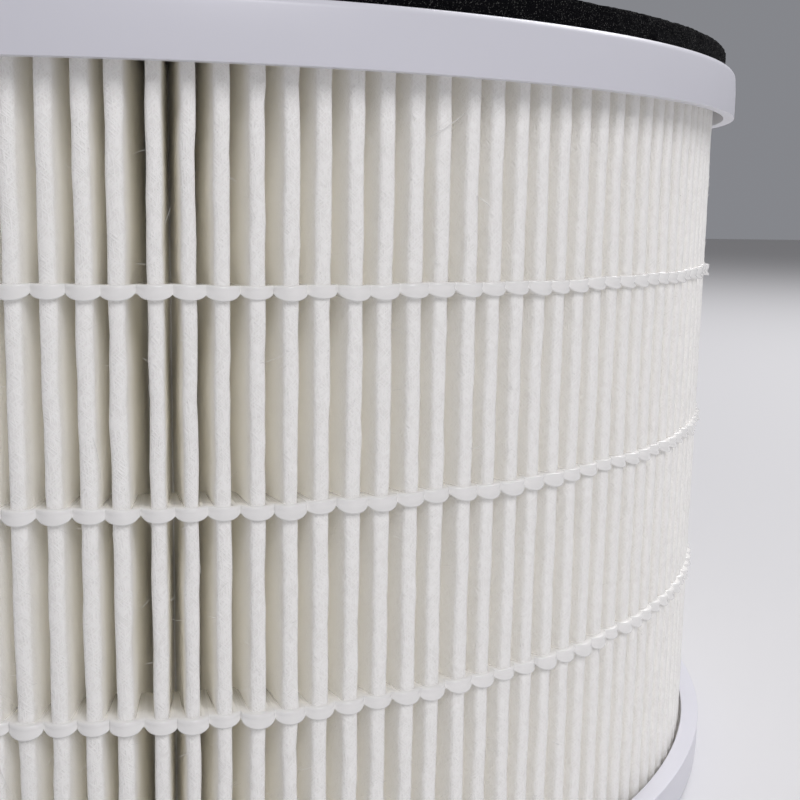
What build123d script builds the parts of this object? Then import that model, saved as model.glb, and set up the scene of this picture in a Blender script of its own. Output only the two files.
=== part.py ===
from build123d import *
from math import asin, cos, degrees, radians, sin
import os

# Cylindrical air purifier filter: a ring of pleated sheet between two moulded caps.
# Millimetres. +Z is up, the axis is Z, the origin is the middle of the underside.
# The front is towards -Y, and angles are counted anticlockwise from +X, seen from above.

# Pleated sheet
fold_count = 160
media_radius = 98.0          # over the outer fold tips
pleat_depth = 27.0
media_height = 110.9         # width of the strip
sheet_thickness = 0.8
tip_width = 1.8              # flat of an outer fold
inner_fold_width = 1.5       # flat of an inner fold
front_fold_angle = -90.9     # a fold tip stands here, a little left of the front

# Glue beads
bead_pitch = 25.4
middle_bead_height = 61.35
bead_thickness = 1.7
glue_clearance = 0.05        # between a bead and the sheet
lobe_height = 1.25           # a lobe, past the bead's bore
notch_skin = 0.35            # glue left between two lobes

# Moulded caps
cap_wall = 1.8
skirt_height = 7.2
skirt_gap = 2.2              # between the fold tips and the skirt
lip_bevel = 0.6
outlet_inset = 9.0           # from the inner folds to the wall of the air outlet
collar_wall = 1.6
collar_length = 9.0

# Adhesive beds that the fold ends stand in
potting_depth = 2.0
potting_clearance = 0.1      # to the walls of the cap

# Foam ring on the top cap
gasket_height = 3.5
gasket_width = 13.0
gasket_inset = 2.0           # from the rim of the cap

# Worked out from the sizes above
pitch_angle = 360 / fold_count
inner_radius = media_radius - pleat_depth
skirt_inner_radius = media_radius + skirt_gap
cap_radius = skirt_inner_radius + cap_wall
outlet_radius = inner_radius - outlet_inset
media_base = cap_wall + potting_depth
media_top = media_base + media_height
top_face = media_top + potting_depth + cap_wall
bead_heights = {
    "lower": middle_bead_height - bead_pitch,
    "middle": middle_bead_height,
    "upper": middle_bead_height + bead_pitch,
}


def polar(radius, angle):
    """Point of the plan at this radius and angle in degrees."""
    return (radius * cos(radians(angle)), radius * sin(radians(angle)))


def fold_angles():
    """Angle of each outer fold tip."""
    return [front_fold_angle + pitch_angle * i for i in range(fold_count)]


def outline(points_of_a_fold):
    """Closed wire round the axis, from the few points that each fold gives."""
    points = [point for angle in fold_angles() for point in points_of_a_fold(angle)]
    return Wire(Polyline(*points, close=True).edges())


def half_angle(width, radius):
    """Half the angle that a flat of this width takes up at this radius."""
    return degrees(asin(width / 2 / radius))


def outer_surface(angle):
    """Flat of an outer tip, then the closed crease at the bottom of the valley beside it."""
    tip = half_angle(tip_width, media_radius)
    return [
        polar(media_radius, angle - tip),
        polar(media_radius, angle + tip),
        polar(inner_radius + sheet_thickness, angle + pitch_angle / 2),
    ]


def inner_surface(angle):
    """Closed crease behind an outer tip, then the flat of the inner fold beside it."""
    fold = half_angle(inner_fold_width, inner_radius)
    return [
        polar(media_radius - sheet_thickness, angle),
        polar(inner_radius, angle + pitch_angle / 2 - fold),
        polar(inner_radius, angle + pitch_angle / 2 + fold),
    ]


def make_pleated_media():
    """The folded sheet, one strip with its ends joined."""
    section = Face(outline(outer_surface), [outline(inner_surface)])
    return Pos(0, 0, media_base) * extrude(section, amount=media_height)


def make_outer_bead(height):
    """Ring of glue over the fold tips: a lobe on each tip, pinched in between two tips."""
    bore = media_radius + glue_clearance

    def lobe(angle):
        return [
            polar(bore + lobe_height, angle),
            polar(bore + notch_skin, angle + pitch_angle / 2),
        ]

    section = Face(outline(lobe)) - Circle(bore)
    return Pos(0, 0, height - bead_thickness / 2) * extrude(section, amount=bead_thickness)


def make_seam_glue():
    """Bar of glue that fills the valley at the back, where the strip's ends meet."""
    angle = front_fold_angle + pitch_angle * (fold_count // 2)
    left, crease = outer_surface(angle)[1:]
    right = outer_surface(angle + pitch_angle)[0]
    valley = make_face(Polyline(left, crease, right, close=True))
    section = offset(valley, amount=-glue_clearance, kind=Kind.INTERSECTION)
    return Pos(0, 0, media_base) * extrude(section, amount=media_height)


def make_potting(base):
    """Flat ring of cast adhesive that fills the bottom of a cap's channel."""
    ring = Circle(skirt_inner_radius - potting_clearance)
    ring -= Circle(outlet_radius + collar_wall + potting_clearance)
    return Pos(0, 0, base) * extrude(ring, amount=potting_depth)


def make_bottom_cap():
    """Closed dish: a flat floor, and a skirt round the fold ends."""
    section = Polyline(
        (0, 0),
        (cap_radius - lip_bevel, 0),
        (cap_radius, lip_bevel),
        (cap_radius, skirt_height),
        (skirt_inner_radius, skirt_height),
        (skirt_inner_radius, cap_wall),
        (0, cap_wall),
        close=True,
    )
    return revolve(Plane.XZ * make_face(section), axis=Axis.Z)


def make_top_cap():
    """Channel ring, open downwards: the skirt outside, the collar of the air outlet inside."""
    collar_radius = outlet_radius + collar_wall
    section = Polyline(
        (outlet_radius, top_face),
        (cap_radius - lip_bevel, top_face),
        (cap_radius, top_face - lip_bevel),
        (cap_radius, top_face - skirt_height),
        (skirt_inner_radius, top_face - skirt_height),
        (skirt_inner_radius, top_face - cap_wall),
        (collar_radius, top_face - cap_wall),
        (collar_radius, top_face - collar_length),
        (outlet_radius, top_face - collar_length),
        close=True,
    )
    return revolve(Plane.XZ * make_face(section), axis=Axis.Z)


def make_top_gasket():
    """Foam ring that seals against the purifier's housing."""
    outer_radius = cap_radius - gasket_inset
    ring = Circle(outer_radius) - Circle(outer_radius - gasket_width)
    return Pos(0, 0, top_face) * extrude(ring, amount=gasket_height)


def make_parts():
    """Every piece, by name."""
    parts = {
        "pleated_media": make_pleated_media(),
        "seam_glue": make_seam_glue(),
        "bottom_cap": make_bottom_cap(),
        "bottom_potting": make_potting(cap_wall),
        "top_cap": make_top_cap(),
        "top_potting": make_potting(media_top),
        "top_gasket": make_top_gasket(),
    }
    for level, height in bead_heights.items():
        parts["outer_bead_" + level] = make_outer_bead(height)
    return parts


os.makedirs("parts", exist_ok=True)
for name, part in make_parts().items():
    part.label = name
    export_step(part, "parts/" + name + ".step")
    print(name, round(part.volume), "mm3")
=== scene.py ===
import math

import bpy
import numpy as np
from mathutils import Matrix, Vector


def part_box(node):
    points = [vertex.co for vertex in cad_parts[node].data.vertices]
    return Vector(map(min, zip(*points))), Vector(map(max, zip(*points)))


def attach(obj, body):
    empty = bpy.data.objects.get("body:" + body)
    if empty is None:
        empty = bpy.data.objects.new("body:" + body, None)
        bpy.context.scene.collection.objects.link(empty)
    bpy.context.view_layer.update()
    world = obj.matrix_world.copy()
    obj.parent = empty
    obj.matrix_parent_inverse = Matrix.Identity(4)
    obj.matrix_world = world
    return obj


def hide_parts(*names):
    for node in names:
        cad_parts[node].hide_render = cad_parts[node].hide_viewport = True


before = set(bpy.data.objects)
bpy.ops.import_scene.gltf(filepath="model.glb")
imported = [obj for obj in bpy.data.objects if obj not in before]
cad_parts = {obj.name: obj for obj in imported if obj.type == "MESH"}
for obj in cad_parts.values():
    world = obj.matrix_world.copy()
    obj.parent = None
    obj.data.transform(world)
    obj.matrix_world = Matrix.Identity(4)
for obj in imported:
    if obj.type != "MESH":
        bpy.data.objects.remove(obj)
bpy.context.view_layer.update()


# Pleated sheet.
# One strip of white glass-fibre felt, folded into 160 narrow pleats and bent round to a ring.
# The folds are creased loosely, so they are round, waver a little and differ in width.
MM = 0.001
FOLDS = 160
PITCH = 2 * math.pi / FOLDS
FRONT_FOLD = math.radians(-90.9)
MEDIA_LOW, MEDIA_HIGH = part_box("pleated_media")
TIP_RADIUS = MEDIA_HIGH[0]
PLEAT_DEPTH = 27.0 * MM
ROOT_RADIUS = TIP_RADIUS - PLEAT_DEPTH
# An outer tip: half its width, its rounding, how far it stands past the solid, and the power that squares
# it; then the sheet's thickness, and what the flanks leave free at a root
TIP_HALF = 1.00 * MM
TIP_ROUND = 0.75 * MM
TIP_PROUD = 0.50 * MM
TIP_POWER = 0.75
SHEET = 0.62 * MM
ROOT_GAP = 0.06 * MM
# Where a flank has points, as shares of the way from the tip to the root
FLANK_POINTS = np.array([0.14, 0.93])
# How irregular the folding is: how far a fold stands aside, wavers, reaches out and changes in width, the
# heights over which it does so, and how ragged a tip's edges are
FOLD_SHIFT = 0.10 * MM
WAVE = 0.12 * MM
WAVE_LENGTHS = np.array([61, 27, 13]) * MM
REACH = 0.12 * MM
REACH_LENGTHS = np.array([70, 31, 8]) * MM
WIDTH_CHANGE = 0.06
WIDTH_LENGTHS = np.array([47, 19, 9]) * MM
RAGGED = 0.035 * MM
# The first folds, from a little left of the front to the right: how far each stands aside, and its width
FRONT_SHIFTS = np.array([0.26, -0.04, -0.24, 0.07, 0.10]) * MM
FRONT_WIDTHS = np.array([0.88, 0.84, 0.93, 0.95, 0.96])
# The inner side: half the gap behind an outer tip and its depth, and how far the wall and the inner fold
# stand in
CREASE_HALF = 0.30 * MM
CREASE_DEPTH = 0.3 * MM
WALL_INSET = 0.80 * MM
INNER_ROUND = 0.55 * MM
# Rows of points up the sheet, on the outer and the inner side
MEDIA_ROWS = 45
INNER_ROWS = 8


def add_mesh(name, points, faces, material, flat_map=None):
    """Makes a mesh object from points (n, 3) and a list of arrays of faces, shades it smooth and rides it.
    flat_map holds one array of (u, v) a corner for each array of faces."""
    mesh = bpy.data.meshes.new(name)
    loops = np.concatenate([f.ravel() for f in faces]).astype(np.int32)
    sizes = np.concatenate([np.full(len(f), f.shape[1]) for f in faces]).astype(np.int32)
    mesh.vertices.add(len(points))
    mesh.vertices.foreach_set("co", np.ascontiguousarray(points, dtype=np.float32).ravel())
    mesh.loops.add(len(loops))
    mesh.loops.foreach_set("vertex_index", loops)
    mesh.polygons.add(len(sizes))
    mesh.polygons.foreach_set("loop_start", np.concatenate([[0], np.cumsum(sizes)[:-1]]).astype(np.int32))
    mesh.polygons.foreach_set("loop_total", sizes)
    mesh.update(calc_edges=True)
    if flat_map is not None:
        corners = np.concatenate([m.reshape(-1, 2) for m in flat_map])
        mesh.uv_layers.new(name="flat").data.foreach_set("uv", corners.astype(np.float32).ravel())
    mesh.validate()
    mesh.shade_smooth()
    piece = bpy.data.objects.new(name, mesh)
    bpy.context.scene.collection.objects.link(piece)
    mesh.materials.append(material)
    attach(piece, "root")
    return piece


def grid_faces(rows, columns, start=0, close_rows=False, close_columns=False):
    """Quads of a grid of points counted row by row, joined end to start where it closes."""
    r = np.arange(rows if close_rows else rows - 1)[:, None]
    c = np.arange(columns if close_columns else columns - 1)[None, :]
    r2, c2 = (r + 1) % rows, (c + 1) % columns
    quads = np.stack([r * columns + c, r * columns + c2, r2 * columns + c2, r2 * columns + c], -1)
    return start + quads.reshape(-1, 4)


def grid_map(across, up):
    """The (u, v) of each corner of a grid's quads, for columns that close: across has one value more."""
    u = np.stack([across[:-1], across[1:], across[1:], across[:-1]], -1)[None]
    v = np.stack([up[:-1], up[:-1], up[1:], up[1:]], -1)[:, None]
    u, v = np.broadcast_arrays(u, v)
    return np.stack([u, v], -1).reshape(-1, 4, 2)


def slow_wave(seed, count, height, lengths):
    """A smooth wander along the height for each of count folds: a sum of cosines with seeded phases."""
    dice = np.random.default_rng(seed)
    total = np.zeros((len(height), count))
    for length in lengths:
        phase = dice.uniform(0, 2 * np.pi, count)
        share = dice.uniform(0.5, 1.0, count)
        total += share * np.cos(2 * np.pi * height[:, None] / length + phase)
    return total / len(lengths)


def new_material(name, **inputs):
    """A Principled material whose uniform values are set on the shader's own sockets."""
    material = bpy.data.materials.new(name)
    material.use_nodes = True
    shader = material.node_tree.nodes["Principled BSDF"]
    for key, value in inputs.items():
        shader.inputs[key.replace("_", " ")].default_value = value
    return material, material.node_tree, shader


def make_fibre_group():
    """Felted fibre on the sheet laid flat: noise drawn out in three directions, the strongest kept.
    Puts out a height of the fibres and a slow patchy mask."""
    group = bpy.data.node_groups.new("felted_fibre", "ShaderNodeTree")
    group.interface.new_socket("Fineness", in_out="INPUT", socket_type="NodeSocketFloat")
    group.interface.new_socket("Height", in_out="OUTPUT", socket_type="NodeSocketFloat")
    group.interface.new_socket("Patches", in_out="OUTPUT", socket_type="NodeSocketFloat")
    nodes, links = group.nodes, group.links
    enter, leave = nodes.new("NodeGroupInput"), nodes.new("NodeGroupOutput")
    place = nodes.new("ShaderNodeUVMap")
    place.uv_map = "flat"
    strongest = None
    for turn in (-48, 5, 52):
        lay = nodes.new("ShaderNodeMapping")
        lay.vector_type = "TEXTURE"
        lay.inputs["Rotation"].default_value = (0, 0, math.radians(turn))
        lay.inputs["Scale"].default_value = (1.0, 8.0, 1.0)
        strand = nodes.new("ShaderNodeTexNoise")
        strand.noise_dimensions = "2D"
        strand.inputs["Detail"].default_value = 0
        links.new(place.outputs["UV"], lay.inputs["Vector"])
        links.new(lay.outputs["Vector"], strand.inputs["Vector"])
        links.new(enter.outputs["Fineness"], strand.inputs["Scale"])
        if strongest is None:
            strongest = strand.outputs["Fac"]
            continue
        keep = nodes.new("ShaderNodeMath")
        keep.operation = "MAXIMUM"
        links.new(strongest, keep.inputs[0])
        links.new(strand.outputs["Fac"], keep.inputs[1])
        strongest = keep.outputs[0]
    links.new(strongest, leave.inputs["Height"])
    patch = nodes.new("ShaderNodeTexNoise")
    patch.noise_dimensions = "2D"
    patch.inputs["Scale"].default_value = 520
    patch.inputs["Detail"].default_value = 1
    links.new(place.outputs["UV"], patch.inputs["Vector"])
    links.new(patch.outputs["Fac"], leave.inputs["Patches"])
    return group


fibre_group = make_fibre_group()
# The felt's pattern: how much the patches add to the fibres, where the mottle starts and is full, and how
# high the bump stands
PATCH_SHARE = 0.35
MOTTLE_START = 0.86
MOTTLE_FULL = 0.62
FELT_RELIEF = 0.12 * MM


def make_felt(name, light, deep, fineness, bump):
    """White felt: clean on the flanks, and on the tips, where creasing loosened the fibres, mottled with a
    deeper tone by fibre and patch. A fibrous bump over soft lumps covers it all."""
    material, tree, shader = new_material(name, Roughness=0.85)
    fibre = tree.nodes.new("ShaderNodeGroup")
    fibre.node_tree = fibre_group
    fibre.inputs["Fineness"].default_value = fineness
    both = tree.nodes.new("ShaderNodeMath")
    both.operation = "MULTIPLY_ADD"
    both.inputs[1].default_value = PATCH_SHARE
    pick = tree.nodes.new("ShaderNodeMapRange")
    pick.inputs["From Min"].default_value = MOTTLE_START
    pick.inputs["From Max"].default_value = MOTTLE_FULL
    at_tip = tree.nodes.new("ShaderNodeAttribute")
    at_tip.attribute_name = "tip"
    mottle = tree.nodes.new("ShaderNodeMath")
    mottle.operation = "MULTIPLY"
    tone = tree.nodes.new("ShaderNodeMix")
    tone.data_type = "RGBA"
    tone.inputs["A"].default_value = (*light, 1)
    tone.inputs["B"].default_value = (*deep, 1)
    relief = tree.nodes.new("ShaderNodeBump")
    relief.inputs["Strength"].default_value = bump
    relief.inputs["Distance"].default_value = FELT_RELIEF
    tree.links.new(fibre.outputs["Patches"], both.inputs[0])
    tree.links.new(fibre.outputs["Height"], both.inputs[2])
    tree.links.new(both.outputs[0], pick.inputs["Value"])
    tree.links.new(pick.outputs["Result"], mottle.inputs[0])
    tree.links.new(at_tip.outputs["Fac"], mottle.inputs[1])
    tree.links.new(mottle.outputs[0], tone.inputs["Factor"])
    tree.links.new(tone.outputs["Result"], shader.inputs["Base Color"])
    tree.links.new(both.outputs[0], relief.inputs["Height"])
    tree.links.new(relief.outputs["Normal"], shader.inputs["Normal"])
    return material


felt = make_felt(
    "white_felt",
    light=(0.999, 0.990, 0.959),
    deep=(0.93, 0.918, 0.885),
    fineness=5500,
    bump=0.9,
)


def fold_angles(height):
    """Angle of each fold tip at each height: even steps with a small fixed shift and a slow waver."""
    dice = np.random.default_rng(11)
    even = FRONT_FOLD + PITCH * np.arange(FOLDS)
    fixed = dice.normal(0, FOLD_SHIFT, FOLDS)
    fixed[: len(FRONT_SHIFTS)] += FRONT_SHIFTS
    waver = WAVE * slow_wave(12, FOLDS, height, WAVE_LENGTHS)
    return even + (fixed + waver) / TIP_RADIUS


def round_the_ring(height, aside, radius, share):
    """Carries a fold's profile round the ring. aside is the sideways distance from the fold's middle plane
    and radius the distance from the axis, both (rows, folds, points); share tells how much of the way to
    the next fold, or back to the one before, a point keeps. Gives (rows, points of the ring, 3)."""
    centre = fold_angles(height)
    to_next = np.roll(centre, -1, 1) - centre
    to_next[:, -1] += 2 * math.pi
    to_last = np.roll(to_next, 1, 1)
    pull = np.where(share > 0, share * (to_next - PITCH)[..., None], share * (to_last - PITCH)[..., None])
    angle = centre[..., None] + pull + np.arctan2(aside, radius)
    z = np.broadcast_to(height[:, None, None], angle.shape)
    return np.stack([radius * np.cos(angle), radius * np.sin(angle), z], -1).reshape(len(height), -1, 3)


def make_pleated_sheet():
    """The sheet's outer side is a squarish half ellipse over the tip, with sine and cosine raised to a
    power below one, straight flanks and a sharp root; the inner side is the same with fewer points, one
    sheet's thickness in. Strips join the two at both ends."""
    root_half = math.tan(PITCH / 2) * (ROOT_RADIUS + SHEET)
    arc = np.radians([30, 60, 90])
    # From the crest to the right: over the tip, down the flank; then mirrored, and the root at the end
    crest = TIP_RADIUS + TIP_PROUD
    tip_side = crest - TIP_ROUND
    over_aside = TIP_HALF * np.sin(arc) ** TIP_POWER
    over_radius = tip_side + TIP_ROUND * np.concatenate([np.cos(arc[:2]) ** TIP_POWER, [0]])
    flank_aside = TIP_HALF + (root_half - ROOT_GAP - TIP_HALF) * FLANK_POINTS
    flank_radius = tip_side + (ROOT_RADIUS + SHEET - tip_side) * FLANK_POINTS
    half_aside = np.concatenate([over_aside, flank_aside])
    half_radius = np.concatenate([over_radius, flank_radius])
    half_share = np.concatenate([np.zeros(3), FLANK_POINTS * 0.5])
    aside = np.concatenate([-half_aside[::-1], [0], half_aside, [root_half]])
    radius = np.concatenate([half_radius[::-1], [crest], half_radius, [ROOT_RADIUS + SHEET]])
    share = np.concatenate([-half_share[::-1], [0], half_share, [0.5]])
    height = np.linspace(MEDIA_LOW[2], MEDIA_HIGH[2], MEDIA_ROWS)
    dice = np.random.default_rng(15)
    near_tip = np.clip(1 - 3 * np.abs(share), 0, 1)
    width = 1 + WIDTH_CHANGE * slow_wave(13, FOLDS, height, WIDTH_LENGTHS)[..., None]
    width[:, : len(FRONT_WIDTHS), 0] *= FRONT_WIDTHS
    ragged = RAGGED * dice.normal(0, 1, (MEDIA_ROWS, FOLDS, 2))
    ragged = np.where(aside < 0, ragged[..., :1], ragged[..., 1:]) * (aside != 0)
    reach = REACH * slow_wave(14, FOLDS, height, REACH_LENGTHS)[..., None]
    outer_aside = aside * (1 + (width - 1) * near_tip) + ragged * near_tip
    outer_radius = radius + reach * near_tip
    outer = round_the_ring(height, outer_aside, outer_radius, share)
    # The inner side: both flanks from the crease behind the tip to the round inner fold
    bend = root_half - WALL_INSET
    wall = np.array([-bend, -CREASE_HALF, 0.0, CREASE_HALF, bend, root_half])
    crease = TIP_RADIUS - SHEET - CREASE_DEPTH
    turn = ROOT_RADIUS + INNER_ROUND
    inner_radius = np.array([turn, crease - SHEET, crease, crease - SHEET, turn, ROOT_RADIUS])
    inner_share = np.array([-0.45, -0.05, 0, 0.05, 0.45, 0.5])
    inner_height = np.linspace(MEDIA_LOW[2], MEDIA_HIGH[2], INNER_ROWS)
    whole = (INNER_ROWS, FOLDS, len(wall))
    wall, inner_radius = np.broadcast_to(wall, whole), np.broadcast_to(inner_radius, whole)
    inner = round_the_ring(inner_height, wall, inner_radius, inner_share)
    # Faces, and each corner's place on the strip laid flat
    columns, inner_columns = outer.shape[1], inner.shape[1]
    start = MEDIA_ROWS * columns
    steps, inner_steps = len(aside), len(inner_share)
    faces = [grid_faces(MEDIA_ROWS, columns, close_columns=True),
             grid_faces(INNER_ROWS, inner_columns, start=start, close_columns=True)[:, ::-1]]
    next_aside = 2 * root_half - half_aside[-1]
    one_fold = np.hypot(np.diff(aside, append=next_aside), np.diff(radius, append=radius[0]))
    across = np.concatenate([[0], np.cumsum(np.tile(one_fold, FOLDS))])
    inner_fold = across[steps] * np.arange(inner_columns + 1) / inner_steps
    flat_map = [grid_map(across, height), grid_map(inner_fold, inner_height)[:, ::-1]]
    # Each inner edge is joined to the outer points beside it, at the foot and at the head of the strip
    fold = np.arange(FOLDS)[:, None]
    beside = (0, 3, 5, 7, 10, 11, 12)
    for j in range(inner_steps):
        rim = (fold * steps + np.arange(beside[j], beside[j + 1] + 1)) % columns
        back = start + (fold * inner_steps + np.array([j + 1, j])) % inner_columns
        high_rim = rim + (MEDIA_ROWS - 1) * columns
        high_back = back + (INNER_ROWS - 1) * inner_columns
        foot = np.concatenate([rim, back], 1)[:, ::-1]
        head = np.concatenate([high_rim, high_back], 1)
        faces += [foot, head]
        flat_map += [np.zeros((*foot.shape, 2)), np.zeros((*head.shape, 2))]
    points = np.concatenate([outer.reshape(-1, 3), inner.reshape(-1, 3)])
    sheet = add_mesh("pleated_sheet", points, faces, felt, flat_map)
    # 1 over the outer tips, 0 elsewhere
    tip = np.zeros(len(points), dtype=np.float32)
    tip[:start] = np.tile(share == 0, MEDIA_ROWS * FOLDS)
    sheet.data.attributes.new("tip", "FLOAT", "POINT").data.foreach_set("value", tip)
    return sheet


pleated_sheet = make_pleated_sheet()
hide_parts("pleated_media")


# Loose fibres.
# Glass fibres that creasing has pulled out of the felt, held by one end: short fuzz on the fold tips, and
# a few long hairs that lean over to the next fold.
FIBRES_A_FOLD = 20
HAIR_SHARE = 0.012
FOOT_DEPTH = 0.1 * MM
# The feet stand on one of so many levels, and not on the first and last few
FUZZ_LEVELS = 90
BARE_LEVELS = 7
# In mm, for hairs and for fuzz: half the thickness, the length and the lift off the tip
HAIR_HALF = 0.030
FUZZ_HALF = 0.022
HAIR_LENGTHS = (3.0, 6.5)
FUZZ_LENGTHS = (0.6, 1.9)
HAIR_LIFTS = (0.2, 0.9)
FUZZ_LIFTS = (0.04, 0.26)
# How far round the tip a fibre may stand (radians), and how much it bows, as a part of its length
TIP_TURN = 1.2
BOW = 0.07
# The thickness at four points from foot to end, as parts of the whole thickness
FIBRE_TAPER = np.array([1, 1, 0.85, 0.3])
# Hairs across the gaps near the front, some of them just clear of the tips. In mm, how far they bow out
# and how far below the crests their ends lie; then each one from angle (degrees) and height to angle and
# height, and half its thickness
STRAY_BOW = 1.6
STRAY_DEPTH = 0.02
STRAY_HAIRS = np.array([
    (-72.0, 104.6, -69.3, 107.5, 0.055),
    (-68.1, 97.9, -66.9, 96.6, 0.055),
    (-92.0, 50.5, -91.4, 51.5, 0.030),
    (-90.1, 51.2, -89.7, 51.8, 0.030),
    (-90.0, 49.0, -89.2, 48.8, 0.022),
    (-88.1, 55.6, -88.0, 54.1, 0.030),
    (-90.1, 94.3, -89.7, 96.1, 0.030),
    (-68.0, 66.9, -67.2, 67.0, 0.045),
])


def make_glass_fibre():
    """Bright white glass thread with a slow change of tone."""
    material, tree, shader = new_material("glass_fibre", Roughness=0.16, IOR=1.52)
    place = tree.nodes.new("ShaderNodeTexCoord")
    cloud = tree.nodes.new("ShaderNodeTexNoise")
    cloud.inputs["Scale"].default_value = 900
    tone = tree.nodes.new("ShaderNodeMix")
    tone.data_type = "RGBA"
    tone.inputs["A"].default_value = (0.90, 0.89, 0.87, 1)
    tone.inputs["B"].default_value = (1.0, 1.0, 0.98, 1)
    tree.links.new(place.outputs["Object"], cloud.inputs["Vector"])
    tree.links.new(cloud.outputs["Fac"], tone.inputs["Factor"])
    tree.links.new(tone.outputs["Result"], shader.inputs["Base Color"])
    return material


def make_loose_fibres():
    """Each fibre is a three-sided tube round a quadratic curve, which starts in the skin of a tip and is
    lifted off it at its middle and end. Angles and lengths are drawn by lot."""
    dice = np.random.default_rng(41)
    count = FOLDS * FIBRES_A_FOLD
    fold = np.repeat(np.arange(FOLDS), FIBRES_A_FOLD)
    rows = np.linspace(MEDIA_LOW[2], MEDIA_HIGH[2], FUZZ_LEVELS)
    row = dice.integers(BARE_LEVELS, FUZZ_LEVELS - BARE_LEVELS, count)
    centre = fold_angles(rows)[row, fold]
    hair = dice.random(count) < HAIR_SHARE
    length = np.where(hair, dice.uniform(*HAIR_LENGTHS, count), dice.uniform(*FUZZ_LENGTHS, count)) * MM
    lean = dice.uniform(0, 2 * np.pi, count)
    turn = dice.uniform(-TIP_TURN, TIP_TURN, count)
    lift = np.where(hair, dice.uniform(*HAIR_LIFTS, count), dice.uniform(*FUZZ_LIFTS, count)) * MM
    bow = dice.normal(0, BOW, count) * length
    # Foot, middle and end as (sideways, out from the axis, up)
    skin = TIP_RADIUS + TIP_PROUD - TIP_ROUND * (1 - np.cos(turn)) - FOOT_DEPTH
    foot = np.stack([TIP_HALF * np.sin(turn), skin, rows[row]], -1)
    along = np.stack([np.cos(lean), 0 * lean, np.sin(lean)], -1)
    beside = np.stack([-np.sin(lean), 0 * lean, np.cos(lean)], -1)
    out = np.array([0.0, 1.0, 0.0])
    middle = foot + 0.5 * length[:, None] * along + bow[:, None] * beside + 1.5 * lift[:, None] * out
    end = foot + length[:, None] * along + (lift[:, None] + FOOT_DEPTH) * out
    t = np.array([0, 0.4, 0.75, 1.0])[None, :, None]
    curve = (1 - t) ** 2 * foot[:, None] + 2 * t * (1 - t) * middle[:, None] + t**2 * end[:, None]
    angle = centre[:, None] + np.arctan2(curve[..., 0], curve[..., 1])
    line = np.stack([curve[..., 1] * np.cos(angle), curve[..., 1] * np.sin(angle), curve[..., 2]], -1)
    # The stray hairs run straight from end to end, bowed out a little over the tips
    part = np.array([0, 0.35, 0.7, 1.0])
    stray_angle = np.radians(STRAY_HAIRS[:, :1] + (STRAY_HAIRS[:, 2:3] - STRAY_HAIRS[:, :1]) * part)
    stray_height = (STRAY_HAIRS[:, 1:2] + (STRAY_HAIRS[:, 3:4] - STRAY_HAIRS[:, 1:2]) * part) * MM
    stray_radius = TIP_RADIUS + TIP_PROUD + (STRAY_BOW * part * (1 - part) - STRAY_DEPTH) * MM
    stray_x, stray_y = stray_radius * np.cos(stray_angle), stray_radius * np.sin(stray_angle)
    line = np.concatenate([line, np.stack([stray_x, stray_y, stray_height], -1)])
    centre = np.concatenate([centre, stray_angle[:, 1]])
    half_thick = np.concatenate([np.where(hair, HAIR_HALF, FUZZ_HALF), STRAY_HAIRS[:, 4]])
    count += len(STRAY_HAIRS)
    ahead = line[:, -1] - line[:, 0]
    ahead /= np.linalg.norm(ahead, axis=1, keepdims=True)
    outward = np.stack([np.cos(centre), np.sin(centre), 0 * centre], -1)
    first = np.cross(ahead, outward)
    first /= np.linalg.norm(first, axis=1, keepdims=True)
    second = np.cross(ahead, first)
    thick = half_thick[:, None] * MM * FIBRE_TAPER
    corner = np.radians([0, 120, 240])[None, None, :, None]
    around = np.cos(corner) * first[:, None, None] + np.sin(corner) * second[:, None, None]
    points = line[:, :, None] + thick[:, :, None, None] * around
    start = 12 * np.arange(count)[:, None, None]
    walls = (grid_faces(4, 3, close_columns=True)[None] + start).reshape(-1, 4)
    ends = (np.array([[0, 2, 1], [9, 10, 11]])[None] + start).reshape(-1, 3)
    faces = [walls, ends]
    return add_mesh("loose_fibres", points.reshape(-1, 3), faces, make_glass_fibre())


make_loose_fibres()


# Hot-melt glue rings.
# Three strings of clear-white glue laid across the strip before it is folded. Each sits on every
# fold tip as a hanging round lobe, pinches in between tips and runs back into the valleys.
GLUE_MIDDLE = 61.25 * MM
GLUE_PITCH = 25.4 * MM
GLUE_THICK = 1.75 * MM
# A lobe's circle in plan and how much the lobes differ in size, and how deep the back of the glue lies in
# a valley and in a tip
LOBE = 2.46 * MM
LOBE_CENTRE = TIP_RADIUS - 1.30 * MM
LOBE_SPREAD = 0.05
VALLEY_RUN = 8.5 * MM
TIP_BITE = 1.4 * MM
GLUE_COLUMNS = 12
# Sideways from the fold: where the glue starts to run back into the valley, over what width it does so,
# and where the notch is
RUN_START = 1.0 * MM
RUN_FADE = 0.25 * MM
NOTCH_ASIDE = 1.92 * MM
# How much the underside rises at a notch, how round that rise is, and how far the glue still stands out
# from the lobe's centre there, as a part of the lobe
NOTCH_RISE = 0.50
NOTCH_ROUND = 0.96
NOTCH_REACH = 0.18
# The slow rise and fall of a whole ring: its height, and how many waves go round
RIPPLE = 0.07 * MM
RIPPLE_WAVES = (17, 41)
# A lobe's section from the top edge over the nose to the rim below, then back along the underside: how
# far back from the front, and how far below the top, in thicknesses
LOBE_SECTION = (
    (0.50, 0.0),
    (0.13, 0.02),
    (0.03, 0.12),
    (0.06, 0.32),
    (0.15, 0.66),
    (0.0, 0.87),
    (0.04, 1.0),
    (0.5, 0.98),
)


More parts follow.
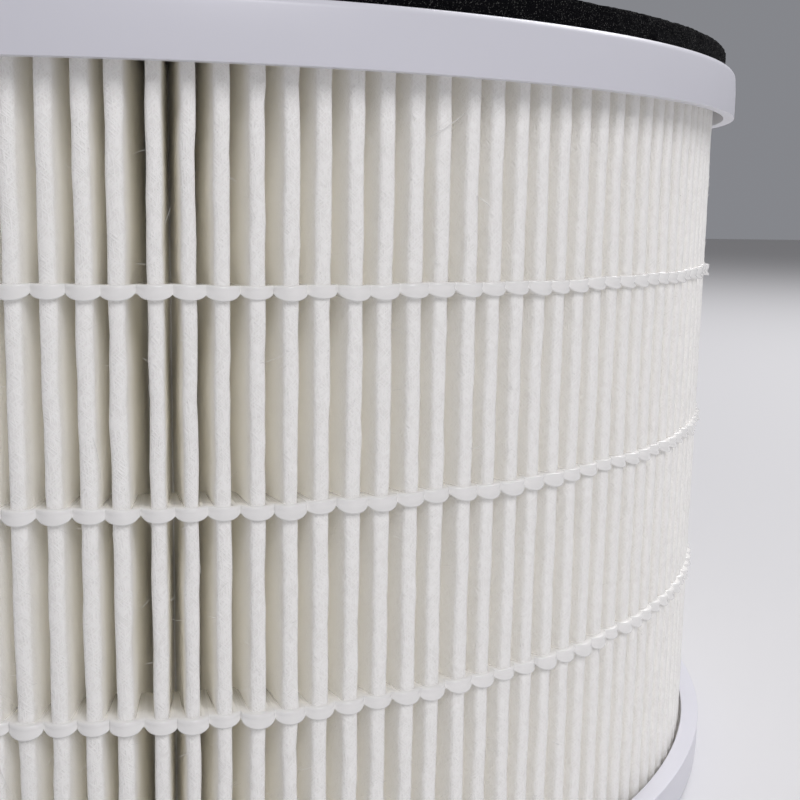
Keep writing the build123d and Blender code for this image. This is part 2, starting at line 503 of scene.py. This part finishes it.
def make_glue():
    """Set hot-melt: glossy white, faintly cloudy, with a slightly uneven skin."""
    material, tree, shader = new_material("hot_melt", Roughness=0.09, IOR=1.50)
    place = tree.nodes.new("ShaderNodeTexCoord")
    cloud = tree.nodes.new("ShaderNodeTexNoise")
    cloud.inputs["Scale"].default_value = 520
    tone = tree.nodes.new("ShaderNodeMix")
    tone.data_type = "RGBA"
    tone.inputs["A"].default_value = (0.88, 0.875, 0.85, 1)
    tone.inputs["B"].default_value = (0.965, 0.955, 0.93, 1)
    relief = tree.nodes.new("ShaderNodeBump")
    relief.inputs["Strength"].default_value = 0.30
    relief.inputs["Distance"].default_value = 0.12 * MM
    tree.links.new(place.outputs["Object"], cloud.inputs["Vector"])
    tree.links.new(cloud.outputs["Fac"], tone.inputs["Factor"])
    tree.links.new(cloud.outputs["Fac"], relief.inputs["Height"])
    tree.links.new(tone.outputs["Result"], shader.inputs["Base Color"])
    tree.links.new(relief.outputs["Normal"], shader.inputs["Normal"])
    return material


glue = make_glue()


def make_glue_ring(name, middle, seed):
    """Columns across each fold, each with a rounded section. In plan the nose follows a circle about each
    fold; its top is level, and its underside hangs lowest under the fold and rises to the notches. The
    back lies inside the tip or, between tips, deep in the valley."""
    dice = np.random.default_rng(seed)
    size = 1 + dice.normal(0, LOBE_SPREAD, FOLDS)
    wander = dice.uniform(0, 2 * np.pi, 2)
    across = np.sin(np.pi / 2 * ((np.arange(GLUE_COLUMNS) + 0.5) / GLUE_COLUMNS * 2 - 1))
    tips = fold_angles(np.array([middle]))[0]
    step_right = np.roll(tips, -1) - tips
    step_right[-1] += 2 * math.pi
    step_left = np.roll(step_right, 1)
    step = np.where(across > 0, step_right[:, None], step_left[:, None])
    angle = tips[:, None] + across * step / 2
    aside = np.abs(angle - tips[:, None]) * TIP_RADIUS
    lobe = LOBE * size[:, None]
    front = LOBE_CENTRE + np.sqrt(np.clip(lobe**2 - aside**2, (NOTCH_REACH * LOBE) ** 2, None))
    in_gap = np.clip((aside - RUN_START) / RUN_FADE, 0, 1)
    back = (TIP_RADIUS - TIP_BITE) * (1 - in_gap) + (TIP_RADIUS - VALLEY_RUN) * in_gap
    to_notch = np.clip(aside / NOTCH_ASIDE, 0, 1)
    hang = 1 - NOTCH_RISE * (1 - np.sqrt(1 - NOTCH_ROUND * to_notch**2))
    thick = GLUE_THICK * hang * size[:, None]
    ripple = sum(np.cos(wave * angle + phase) for wave, phase in zip(RIPPLE_WAVES, wander))
    top = middle + GLUE_THICK / 2 + RIPPLE * ripple
    ring = [(front - b * thick, top - d * thick) for b, d in LOBE_SECTION]
    ring.append((back, top - 0.90 * thick))
    ring.append((back, top - 0.30 * thick))
    radius = np.stack([r for r, z in ring], -1).reshape(-1, len(ring))
    height = np.stack([z + 0 * r for r, z in ring], -1).reshape(-1, len(ring))
    around = angle.reshape(-1, 1)
    points = np.stack([radius * np.cos(around), radius * np.sin(around), height], -1)
    faces = grid_faces(points.shape[0], points.shape[1], close_rows=True, close_columns=True)
    piece = add_mesh(name, points.reshape(-1, 3), [faces], glue)
    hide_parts(name.replace("glue_ring", "outer_bead"))
    return piece


def give_material(node, material):
    """Gives a CAD node a finished material in place of its plain one."""
    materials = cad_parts[node].data.materials
    materials.clear()
    materials.append(material)


for step, level in enumerate(("lower", "middle", "upper")):
    make_glue_ring("glue_ring_" + level, GLUE_MIDDLE + (step - 1) * GLUE_PITCH, 21 + step)
give_material("seam_glue", glue)


# Moulded caps.
# Satin white plastic. The top cap is a channel ring round the air outlet with a bevelled lip, the bottom
# cap a closed dish; the folds stand in both, in a bed of cast adhesive.
CAP_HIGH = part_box("top_cap")[1]
CAP_RADIUS = CAP_HIGH[0]
TOP = CAP_HIGH[2]
CAP_SIDES = 320
# The wall and heights of the two caps, the width of the dish's rim, and the air outlet with its collar
WALL = 1.8 * MM
SKIRT = 7.15 * MM
DISH_SKIRT = 7.15 * MM
RIM_WIDTH = 3.0 * MM
OUTLET_RADIUS = 62.0 * MM
COLLAR_WALL = 1.6 * MM
COLLAR_LENGTH = 9.0 * MM


def make_moulded(name, colour, roughness, grain, mottle):
    """Moulded plastic or cast resin: one colour with a faint mottle and a fine moulded grain."""
    material, tree, shader = new_material(name, Roughness=roughness, IOR=1.49)
    place = tree.nodes.new("ShaderNodeTexCoord")
    spots = tree.nodes.new("ShaderNodeTexNoise")
    spots.inputs["Scale"].default_value = 60
    spots.inputs["Detail"].default_value = 4
    tone = tree.nodes.new("ShaderNodeMix")
    tone.data_type = "RGBA"
    tone.inputs["A"].default_value = (*[c * (1 - mottle) for c in colour], 1)
    tone.inputs["B"].default_value = (*[min(1, c * (1 + mottle)) for c in colour], 1)
    fine = tree.nodes.new("ShaderNodeTexNoise")
    fine.inputs["Scale"].default_value = 3500
    relief = tree.nodes.new("ShaderNodeBump")
    relief.inputs["Strength"].default_value = grain
    relief.inputs["Distance"].default_value = 0.03 * MM
    tree.links.new(place.outputs["Object"], spots.inputs["Vector"])
    tree.links.new(place.outputs["Object"], fine.inputs["Vector"])
    tree.links.new(spots.outputs["Fac"], tone.inputs["Factor"])
    tree.links.new(fine.outputs["Fac"], relief.inputs["Height"])
    tree.links.new(tone.outputs["Result"], shader.inputs["Base Color"])
    tree.links.new(relief.outputs["Normal"], shader.inputs["Normal"])
    return material


cap_plastic = make_moulded("cap_plastic", (0.715, 0.715, 0.77), 0.34, 0.12, 0.02)
resin = make_moulded("cast_adhesive", (0.90, 0.89, 0.86), 0.45, 0.3, 0.04)


def rounded(corners, pieces=4):
    """A closed outline whose corners, each (radius, height, rounding), become short arcs by cutting the
    corner with a quadratic curve."""
    outline = []
    count = len(corners)
    for i, (r, z, cut) in enumerate(corners):
        here = np.array([r, z])
        if cut == 0:
            outline.append(here)
            continue
        before = np.array(corners[i - 1][:2]) - here
        after = np.array(corners[(i + 1) % count][:2]) - here
        enter = here + before / np.linalg.norm(before) * cut
        leave = here + after / np.linalg.norm(after) * cut
        for t in np.linspace(0, 1, pieces + 1):
            outline.append((1 - t) ** 2 * enter + 2 * t * (1 - t) * here + t**2 * leave)
    return np.array(outline)


def turned(name, outline, material, sides=CAP_SIDES):
    """Carries an outline of (radius, height) round the axis, anticlockwise in its plane. It is closed, or
    its two ends are on the axis, where each becomes one point in the middle of a fan."""
    angle = np.linspace(0, 2 * np.pi, sides, endpoint=False)[:, None]
    ring = outline[outline[:, 0] > 0]
    count = len(ring)
    radius, height = ring[:, 0], ring[:, 1] + 0 * angle
    points = np.stack([radius * np.cos(angle), radius * np.sin(angle), height], -1).reshape(-1, 3)
    faces = [grid_faces(sides, count, close_rows=True, close_columns=count == len(outline))[:, ::-1]]
    if count < len(outline):
        here = np.arange(sides) * count
        there = np.roll(here, -1)
        poles = len(points) + np.zeros((2, sides), int) + [[0], [1]]
        points = np.concatenate([points, [(0, 0, outline[0, 1]), (0, 0, outline[-1, 1])]])
        faces.append(np.stack([there, here, poles[0]], -1))
        faces.append(np.stack([here + count - 1, there + count - 1, poles[1]], -1))
    return add_mesh(name, points, faces, material)


top_shell = turned(
    "top_shell",
    rounded(
        [
            (OUTLET_RADIUS, TOP, 0.4 * MM),
            (OUTLET_RADIUS, TOP - COLLAR_LENGTH, 0.3 * MM),
            (OUTLET_RADIUS + COLLAR_WALL, TOP - COLLAR_LENGTH, 0.3 * MM),
            (OUTLET_RADIUS + COLLAR_WALL, TOP - WALL, 0.3 * MM),
            (CAP_RADIUS - WALL, TOP - WALL, 0.3 * MM),
            (CAP_RADIUS - WALL, TOP - SKIRT, 0.15 * MM),
            (CAP_RADIUS, TOP - SKIRT, 0.10 * MM),
            (CAP_RADIUS, TOP - 3.0 * MM, 1.4 * MM),
            (CAP_RADIUS - 0.20 * MM, TOP - 0.62 * MM, 0.25 * MM),
            (CAP_RADIUS - 0.66 * MM, TOP, 0.25 * MM),
        ]
    ),
    cap_plastic,
)
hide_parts("top_cap")
bottom_shell = turned(
    "bottom_shell",
    rounded(
        [
            (0, WALL, 0),
            (CAP_RADIUS - WALL, WALL, 0.3 * MM),
            (CAP_RADIUS - WALL, DISH_SKIRT - 2.8 * MM, 0.3 * MM),
            (CAP_RADIUS - RIM_WIDTH, DISH_SKIRT - 1.6 * MM, 0.3 * MM),
            (CAP_RADIUS - RIM_WIDTH, DISH_SKIRT, 0.25 * MM),
            (CAP_RADIUS, DISH_SKIRT, 0.20 * MM),
            (CAP_RADIUS - 0.06 * MM, 2.2 * MM, 0.5 * MM),
            (CAP_RADIUS - 0.20 * MM, 0.70 * MM, 0.25 * MM),
            (CAP_RADIUS - 0.90 * MM, 0, 0.35 * MM),
            (0, 0, 0),
        ]
    )[::-1],
    cap_plastic,
)
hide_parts("bottom_cap")
for node in ("top_potting", "bottom_potting"):
    give_material(node, resin)


# Foam seal.
# A ring cut from black open-cell foam, stuck on the top cap. Its cut faces are rough with open cells.
FOAM_LOW, FOAM_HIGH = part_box("top_gasket")
FOAM_WIDTH = 13.0 * MM
FOAM_CORNER = 0.25 * MM
# How far the ring stands in from the solid, and how far its points are pushed in or out, and up or down,
# as spreads of a random draw
FOAM_INSET = 0.05 * MM
FOAM_ROUGH = 0.07 * MM
FOAM_UNEVEN = 0.05 * MM
FOAM_SIDES = 720


def make_foam():
    """Black foam: open cells as dark pits between barely paler walls, and painted glints: a paler colour
    on a few cell skins in place of light glinting off them.
    """
    material, tree, shader = new_material("black_foam", Roughness=0.9, Specular_IOR_Level=0.08)
    place = tree.nodes.new("ShaderNodeTexCoord")
    cells = tree.nodes.new("ShaderNodeTexVoronoi")
    cells.inputs["Scale"].default_value = 5200
    # Painted glint: a spot near the middle of each cell, kept only in cells drawn by lot, gets a paler
    # colour in place of light glinting off the cell skin
    skin = tree.nodes.new("ShaderNodeMath")
    skin.operation = "LESS_THAN"
    skin.inputs[1].default_value = 0.34
    chosen = tree.nodes.new("ShaderNodeMapRange")
    chosen.inputs["From Min"].default_value = 0.45
    chosen.inputs["From Max"].default_value = 1.0
    glint = tree.nodes.new("ShaderNodeMath")
    glint.operation = "MULTIPLY"
    # Near-black foam, and the paler second colour for the painted glints
    tone = tree.nodes.new("ShaderNodeMix")
    tone.data_type = "RGBA"
    tone.inputs["A"].default_value = (0.003, 0.003, 0.004, 1)
    tone.inputs["B"].default_value = (0.16, 0.16, 0.15, 1)
    relief = tree.nodes.new("ShaderNodeBump")
    relief.inputs["Strength"].default_value = 1.0
    relief.inputs["Distance"].default_value = 0.25 * MM
    tree.links.new(place.outputs["Object"], cells.inputs["Vector"])
    tree.links.new(cells.outputs["Distance"], skin.inputs[0])
    tree.links.new(cells.outputs["Color"], chosen.inputs["Value"])
    tree.links.new(skin.outputs[0], glint.inputs[0])
    tree.links.new(chosen.outputs[0], glint.inputs[1])
    tree.links.new(glint.outputs[0], tone.inputs["Factor"])
    tree.links.new(cells.outputs["Distance"], relief.inputs["Height"])
    tree.links.new(tone.outputs["Result"], shader.inputs["Base Color"])
    tree.links.new(relief.outputs["Normal"], shader.inputs["Normal"])
    return material


def make_foam_ring():
    """The ring's section is a rectangle with soft corners; every point is pushed in or out by a little."""
    outer, inner = FOAM_HIGH[0] - FOAM_INSET, FOAM_HIGH[0] - FOAM_WIDTH
    low, high = FOAM_LOW[2], FOAM_HIGH[2] - FOAM_INSET
    corner = FOAM_CORNER
    outline = np.array(
        [(outer, z) for z in np.linspace(low, high - corner, 8)]
        + [(outer - 0.3 * corner, high - 0.3 * corner)]
        + [(r, high) for r in np.linspace(outer - corner, inner + corner, 12)]
        + [(inner + 0.3 * corner, high - 0.3 * corner), (inner, high - corner), (inner, low)]
    )
    dice = np.random.default_rng(31)
    shape = (FOAM_SIDES, len(outline))
    loose = (outline[:, 1] > low + 0.01 * MM)[None, :]
    radius = outline[:, 0] + loose * dice.normal(0, FOAM_ROUGH, shape)
    height = outline[:, 1] + loose * dice.normal(0, FOAM_UNEVEN, shape)
    height = np.clip(height, low, FOAM_HIGH[2])
    angle = np.linspace(0, 2 * np.pi, FOAM_SIDES, endpoint=False)[:, None]
    points = np.stack([radius * np.cos(angle), radius * np.sin(angle), height], -1)
    faces = grid_faces(FOAM_SIDES, len(outline), close_rows=True, close_columns=True)[:, ::-1]
    return add_mesh("foam_seal", points.reshape(-1, 3), [faces], make_foam())


foam_seal = make_foam_ring()
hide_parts("top_gasket")


# Studio.
# A plain pale floor, a soft even sky and broad lamps in front and above.
FLOOR_SIZE = 6.0


def make_floor():
    """A flat square of matt pale grey at the foot of the filter."""
    half = FLOOR_SIZE / 2
    mesh = bpy.data.meshes.new("floor")
    corners = [(-half, -half, 0), (half, -half, 0), (half, half, 0), (-half, half, 0)]
    mesh.from_pydata(corners, [], [(0, 1, 2, 3)])
    floor = bpy.data.objects.new("floor", mesh)
    bpy.context.scene.collection.objects.link(floor)
    material, _, shader = new_material("pale_floor", Roughness=0.7)
    shader.inputs["Base Color"].default_value = (0.72, 0.72, 0.73, 1)
    mesh.materials.append(material)


make_floor()
# An even pale sky adds soft light. The camera and the reflections see a plain grey in its place
world = bpy.data.worlds.new("studio")
bpy.context.scene.world = world
world.use_nodes = True
sky = world.node_tree.nodes["Background"]
seen = world.node_tree.nodes.new("ShaderNodeBackground")
choose = world.node_tree.nodes.new("ShaderNodeMixShader")
rays = world.node_tree.nodes.new("ShaderNodeLightPath")
sky.inputs["Color"].default_value = (0.98, 0.97, 1.0, 1)
sky.inputs["Strength"].default_value = 0.22
seen.inputs["Color"].default_value = (0.235, 0.24, 0.26, 1)
seen.inputs["Strength"].default_value = 1.0
shown = rays.outputs["Is Camera Ray"]
for kind in ("Is Glossy Ray", "Is Transmission Ray"):
    either = world.node_tree.nodes.new("ShaderNodeMath")
    either.operation = "MAXIMUM"
    world.node_tree.links.new(shown, either.inputs[0])
    world.node_tree.links.new(rays.outputs[kind], either.inputs[1])
    shown = either.outputs[0]
world.node_tree.links.new(shown, choose.inputs["Fac"])
world.node_tree.links.new(sky.outputs["Background"], choose.inputs[1])
world.node_tree.links.new(seen.outputs["Background"], choose.inputs[2])
surface = world.node_tree.nodes["World Output"].inputs["Surface"]
world.node_tree.links.new(choose.outputs["Shader"], surface)


def add_lamp(name, place, target, width, height, power, colour):
    """A rectangular soft box at a place, turned to face a target."""
    data = bpy.data.lights.new(name, "AREA")
    data.shape = "RECTANGLE"
    data.size, data.size_y = width, height
    data.energy = power
    data.color = colour
    lamp = bpy.data.objects.new(name, data)
    bpy.context.scene.collection.objects.link(lamp)
    z = np.array(place, float) - np.array(target, float)
    z /= np.linalg.norm(z)
    x = np.cross((0, 0, 1), z)
    x /= np.linalg.norm(x)
    y = np.cross(z, x)
    turn = Matrix([(*row, 0) for row in np.stack([x, y, z], 1)] + [(0, 0, 0, 1)])
    lamp.matrix_world = Matrix.Translation(place) @ turn
    lamp.visible_camera = False


add_lamp("key", (0.240, -1.130, 0.937), (0, 0, 0.06), 0.60, 0.70, 8.7, (0.98, 0.965, 1.0))
add_lamp("top", (0.75, 0.55, 1.12), (0.05, 0, 0.1), 0.6, 0.6, 11.5, (0.99, 0.98, 1.0))


# Camera.
# It stands close, level with the upper part of the folds, looks 9.4 degrees down past the right of the
# axis and is tipped by one degree, as in the photograph.
CAMERA_PLACE = (0.0, -236.3 * MM, 97.5 * MM)
CAMERA_LENS = 55.02
CAMERA_TURN = math.radians(-10.86)
CAMERA_DOWN = math.radians(9.38)
CAMERA_TIP = math.radians(1.04)

lens = bpy.data.cameras.new("camera")
lens.lens = CAMERA_LENS
lens.sensor_width = 36
lens.clip_start = 0.01
camera = bpy.data.objects.new("camera", lens)
bpy.context.scene.collection.objects.link(camera)
camera.matrix_world = (
    Matrix.Translation(CAMERA_PLACE)
    @ Matrix.Rotation(CAMERA_TURN, 4, "Z")
    @ Matrix.Rotation(math.pi / 2 - CAMERA_DOWN, 4, "X")
    @ Matrix.Rotation(CAMERA_TIP, 4, "Z")
)
bpy.context.scene.camera = camera
bpy.context.scene.view_settings.view_transform = "Standard"
bpy.context.scene.cycles.diffuse_bounces = 24
bpy.context.scene.cycles.max_bounces = 24
